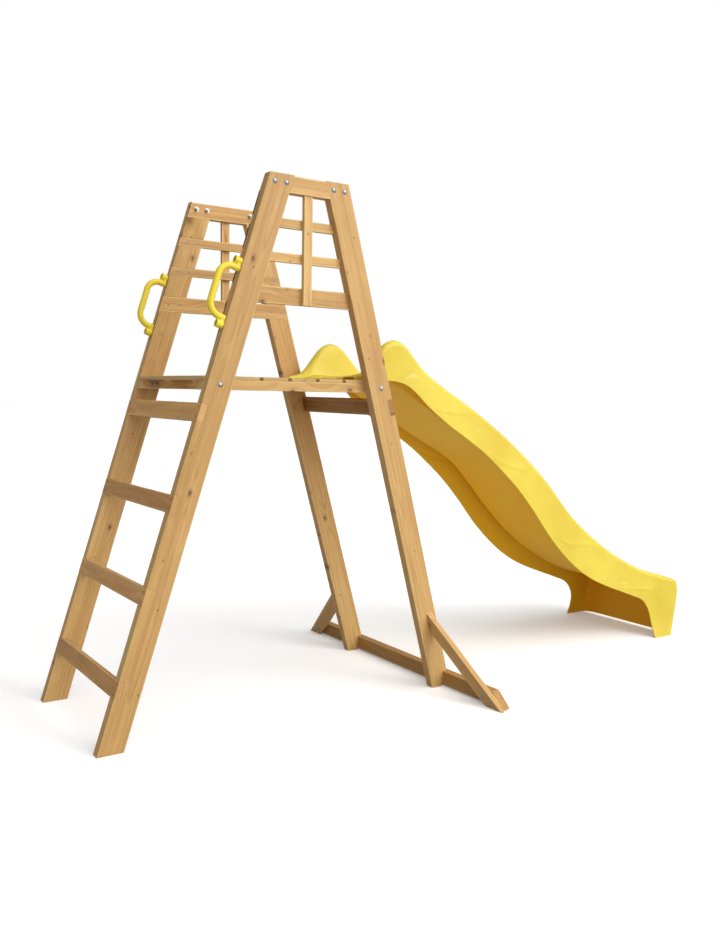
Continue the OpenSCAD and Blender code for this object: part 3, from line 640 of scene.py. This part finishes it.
def ease(v, a, b):
    """0 at a and 1 at b, smoothly between them."""
    u = np.clip((v - a) / (b - a), 0, 1)
    return u * u * (3 - 2 * u)


def mix(a, b, u):
    """The value at the share u of the way from a to b."""
    return a + (b - a) * u


def smooth_through(p, steps):
    """More points on the smooth curve through p, steps[i] of them in span i."""
    q = np.vstack([2 * p[0] - p[1], p, 2 * p[-1] - p[-2]])
    out = []
    for i, n in enumerate(steps):
        a, b, c, d = q[i:i + 4]
        for u in np.arange(n) / n:
            out.append(0.5 * (2 * b + (c - a) * u + (2 * a - 5 * b + 4 * c - d) * u ** 2
                              + (3 * b - a - 3 * c + d) * u ** 3))
    out.append(p[-1])
    return np.array(out)


# points up a skirt, then points in each span of the section from the crest to the floor's middle
SKIRTS = 40
STEPS = [3, 3, 3, 3, 5, 3, 3, 9]


def rim_bend(tall):
    """How far below the crest its rounding starts, for a wall of this height."""
    return min(18, 0.45 * tall)


def crest_half(y):
    """Half width between the crests."""
    return RIM_X + 16 * ease(y, *RUN_OUT) + 12 * ease(y, *FLARE)


def skirt_half(y, z):
    """Half width across the skirts at the distance y and the heights z."""
    top, low, hem = line_at(y, rim_line), line_at(y, floor_line), line_at(y, skirt_line)
    share = (z - hem) / (top - rim_bend(top - low) - hem)
    under = mix(LIP_HALF, SKIRT_X, ease(y, 1180, 1400))
    flared = (FOOT_X - SKIRT_X) * np.maximum(0, 1 - z / 200) ** 2.5
    crest = crest_half(y)
    chute = mix(under, crest + 20, share) + flared
    return mix(chute, mix(FOOT_X, crest + 30, share), ease(y, *FLARE))


def half_section(y, t):
    """Right half of the section t inside the outer skin, from the skirt's edge to the floor's middle.

    Each row has x, z and the depth below the crest.
    """
    top, low, hem = line_at(y, rim_line), line_at(y, floor_line), line_at(y, skirt_line)
    tall = top - low
    xr = crest_half(y)
    xf = FLOOR_X + 14 * ease(y, *RUN_OUT)
    bend = rim_bend(tall)
    shoulder = mix(hem, top - bend, 0.9)
    z = mix(hem, top - bend, np.arange(SKIRTS) / SKIRTS)
    skirt = np.stack([skirt_half(y, z) - t, z, top - z], 1)
    p = np.array([
        (skirt_half(y, shoulder) - t, shoulder, bend),
        (skirt_half(y, top - bend) - t, top - bend, bend),
        (xr + RIM_ROUND - 0.7 * t, top - 0.3 * bend - 0.7 * t, 0.3 * bend), (xr, top - t, 0),
        (xr - RIM_ROUND + 0.7 * t, top - 0.3 * bend - 0.7 * t, 0), (xr - RIM_IN + t, top - bend, 0),
        (xf + 7 + t, low + 0.25 * tall, 0), (xf + 1 + 0.7 * t, low + 0.06 * tall - 0.7 * t, 0),
        (xf - 14, low - t, 0), (0, low - t, 0)])
    rest = smooth_through(p, [1] + STEPS)[1:]
    rest[:, 2] = np.clip(rest[:, 2], 0, bend)
    rest[rest[:, 0] < xr, 2] = 0
    return np.vstack([skirt, rest])


def end_out(z, d, t):
    """How far the end bows out at the height z and the depth d below the crest."""
    round_off = END_BOW * np.sqrt(1 - (1 - np.minimum(d / END_ROUND, 1)) ** 2)
    straight = np.array([line_at(min(v, END_TOP), end_line) for v in z])
    return np.minimum(round_off, straight) - t * np.minimum(d / 20, 1)


def raise_creases(p):
    """Raises the skirt points p along the creases."""
    lift = np.zeros(len(p))
    for line in creases:
        line = np.array(line, float)
        for a, b in zip(line[:-1], line[1:]):
            run = b - a
            u = np.clip(((p[:, 1:] - a) @ run) / (run @ run), 0, 1)
            gap = p[:, 1:] - a - u[:, None] * run
            fade_in = ease(p[:, 1], line[0, 0] - 5, line[0, 0] + CREASE_FADE)
            fade_out = 1 - ease(p[:, 1], line[-1, 0] - CREASE_FADE, line[-1, 0] + 5)
            bump = np.exp(-(gap ** 2).sum(1) / (2 * CREASE_WIDTH ** 2))
            lift = np.maximum(lift, fade_in * fade_out * bump)
    p[:, 0] += CREASE_HEIGHT * lift


# points across a whole row, which shares its middle point between two halves
half = SKIRTS + sum(STEPS) + 1
cols = 2 * half - 1
# the end corner turns a quarter circle: half of it in the body's last rows, half in the panel
BODY_TURNS = np.radians([15, 30, 45])
PANEL_TURNS = np.radians([60, 75, 90])
ys = np.unique(np.concatenate([
    np.arange(LIP_FRONT, 1320, 6.5), np.arange(1320, 2640, 9.0),
    np.arange(2640, PANEL - CORNER, 5.0), PANEL - CORNER * (1 - np.sin(BODY_TURNS))]))


def whole(h):
    """Both halves of a row, from its right half."""
    return np.vstack([h * (-1, 1, 1), h[-2::-1]])


def skin(t):
    """Rows of the body, and rows of the end panel between the last body row's skirt edges."""
    body, panel = [], []
    for y in ys:
        h = half_section(y, t)
        lip = 1 - min((y - LIP_FRONT) / (LIP_BACK - LIP_FRONT), 1)
        bow = LIP_BOW * (h[:, 0] / LIP_HALF) ** 2 * lip
        at = y + bow + ease(y, 2830, PANEL) * end_out(h[:, 1], h[:, 2], t)
        row = np.stack([h[:, 0], at, h[:, 1]], 1)
        raise_creases(row[:SKIRTS + 1])
        u = min(max((y - PANEL + CORNER) / CORNER, 0), 1)
        row[:SKIRTS + 1, 0] -= CORNER * (1 - math.sqrt(1 - u * u))
        body.append(whole(row))
    last = half_section(PANEL, t)
    arch = ARCH * np.clip(1 - (last[:, 0] / FOOT_X) ** 6, 0, 1)
    for k in range(1, SKIRTS + 1):
        fall = k / SKIRTS
        z = mix(last[:, 1], arch, fall)
        out = end_out(z, last[:, 2] + last[:, 1] - z, t)
        x = last[:, 0].copy()
        side = skirt_half(PANEL, last[SKIRTS - k, 1]) - t
        turned = min(k / 5, 1)
        for j, turn in enumerate(PANEL_TURNS):
            i = SKIRTS + 1 + j
            pull = mix(last[SKIRTS, 0] - last[i, 0], CORNER * (1 - math.cos(turn)), turned)
            x[i] = side - pull
            z[i] = mix(last[i, 1], ARCH * max(0, 1 - (max(x[i], 0) / FOOT_X) ** 6), fall)
            out[i] -= CORNER * (1 - math.sin(turn)) * turned
        panel.append(whole(np.stack([x, PANEL + out, z], 1)))
    return np.array(body), np.array(panel)


def slide():
    """The moulding: an outer and an inner skin of body and end panel, joined along every edge."""
    outer, outer_panel = skin(0.0)
    inner, inner_panel = skin(WALL)
    rows = len(outer)
    inside = slice(SKIRTS + 1, cols - SKIRTS - 1)
    layers, points = [], []
    total = 0
    for body, panel in ((outer, outer_panel), (inner, inner_panel)):
        grid = np.arange(rows * cols).reshape(rows, cols) + total
        total += grid.size
        mid = panel[:, inside]
        fill = np.arange(mid.shape[0] * mid.shape[1]).reshape(mid.shape[:2]) + total
        total += fill.size
        points += [body.reshape(-1, 3), mid.reshape(-1, 3)]
        last = grid[-1]
        end = [last[SKIRTS:cols - SKIRTS]]
        for k in range(1, SKIRTS + 1):
            sides = last[[SKIRTS - k]], last[[cols - 1 - SKIRTS + k]]
            end.append(np.concatenate([sides[0], fill[k - 1], sides[1]]))
        layers.append((grid, np.array(end)))
    pts = np.concatenate(points)
    pts[:, 1] += TOE
    pts *= MM
    faces = []

    def sheet(g, flip):
        a, b, c, d = g[:-1, :-1], g[1:, :-1], g[1:, 1:], g[:-1, 1:]
        faces.append(np.stack([a, d, c, b] if flip else [a, b, c, d], -1).reshape(-1, 4))

    loops = []
    for flip, (grid, end) in enumerate(layers):
        sheet(grid, flip)
        sheet(end, flip)
        loops.append(np.concatenate([grid[0], grid[1:, -1], end[-1, -2::-1], grid[-2:0:-1, 0]]))
    a, b = loops
    faces.append(np.stack([a, np.roll(a, -1), np.roll(b, -1), b], -1))
    me = bpy.data.meshes.new("slide_moulding")
    me.from_pydata(pts.tolist(), [], np.concatenate(faces).tolist())
    me.update()
    bm = bmesh.new()
    bm.from_mesh(me)
    bmesh.ops.recalc_face_normals(bm, faces=bm.faces)
    for e in bm.edges:
        e.smooth = len(e.link_faces) == 2 and e.calc_face_angle() < 0.9
    for f in bm.faces:
        f.smooth = True
    bm.to_mesh(me)
    bm.free()
    store(me, "place", coords(me))
    store(me, "layer", np.repeat([[0.0] * 3, [1.0] * 3], len(pts) // 2, 0))
    placed("slide_moulding", me, slide_yellow, "slide_plastic", "slide")


slide()


# ---------------------------------------------------------------- floor, light

FLOOR_BOUNCE = (0.50, 0.50, 0.50)
FLOOR_LIFT = 0.22


def floor():
    """A wide pale floor, shown to the camera brighter than it lights the object."""
    bm = bmesh.new()
    bmesh.ops.create_circle(bm, cap_ends=True, radius=60, segments=96)
    me = meshed("floor", bm)
    ob = bpy.data.objects.new("floor", me)
    scene.collection.objects.link(ob)
    m, t = material("pale_floor")
    place = t.add("ShaderNodeTexCoord", out="Object")
    cloud = t.noise(place, 0.7, 2.0)
    colour = t.mix(cloud, (0.90, 0.90, 0.90), (0.92, 0.92, 0.92))
    seen = t.add("ShaderNodeLightPath", out="Is Camera Ray")
    colour = t.mix(seen, FLOOR_BOUNCE, colour)
    rough = t.math("MULTIPLY_ADD", cloud, 0.05, 0.85)
    shader = t.finish(colour, rough, t.bump(cloud, 0.0001, 0.1), Specular_IOR_Level=0.1)
    shader.inputs["Emission Color"].default_value = (1, 1, 1, 1)
    m.node_tree.links.new(t.math("MULTIPLY", seen, FLOOR_LIFT), shader.inputs["Emission Strength"])
    me.materials.append(m)


floor()

# a white sky, brighter towards the key lamp, and plain white to the camera
KEY = Vector((0.78, 0.30, 0.60)).normalized()
SKY_LEVEL, SKY_GLOW, SKY_FOCUS = 0.36, 2.15, 2.5
LAMP_SIZE, LAMP_POWER, LAMP_AWAY, LAMP_AIM = 3.0, 100, 6, Vector((0, 0, 0.6))
world = bpy.data.worlds.new("studio")
world.use_nodes = True
scene.world = world
wt = Tree(world.node_tree)
direction = wt.add("ShaderNodeTexCoord", out="Generated")
facing = wt.math("MAXIMUM", wt.dot(direction, tuple(KEY)), 0.0)
glow = wt.math("POWER", facing, SKY_FOCUS)
strength = wt.math("MULTIPLY_ADD", glow, SKY_GLOW, SKY_LEVEL)
seen = wt.add("ShaderNodeLightPath", out="Is Camera Ray")
strength = wt.math("MULTIPLY_ADD", seen, wt.math("SUBTRACT", 1.0, strength), strength)
sky = wt.add("ShaderNodeBackground", {"Color": (1, 1, 1, 1), "Strength": strength})
out = world.node_tree.nodes.new("ShaderNodeOutputWorld")
world.node_tree.links.new(sky, out.inputs[0])

lamp = bpy.data.lights.new("key", "AREA")
lamp.shape = "DISK"
lamp.size = LAMP_SIZE
lamp.energy = LAMP_POWER
key = bpy.data.objects.new("key", lamp)
key.matrix_world = looking(KEY, KEY * LAMP_AWAY + LAMP_AIM)
scene.collection.objects.link(key)
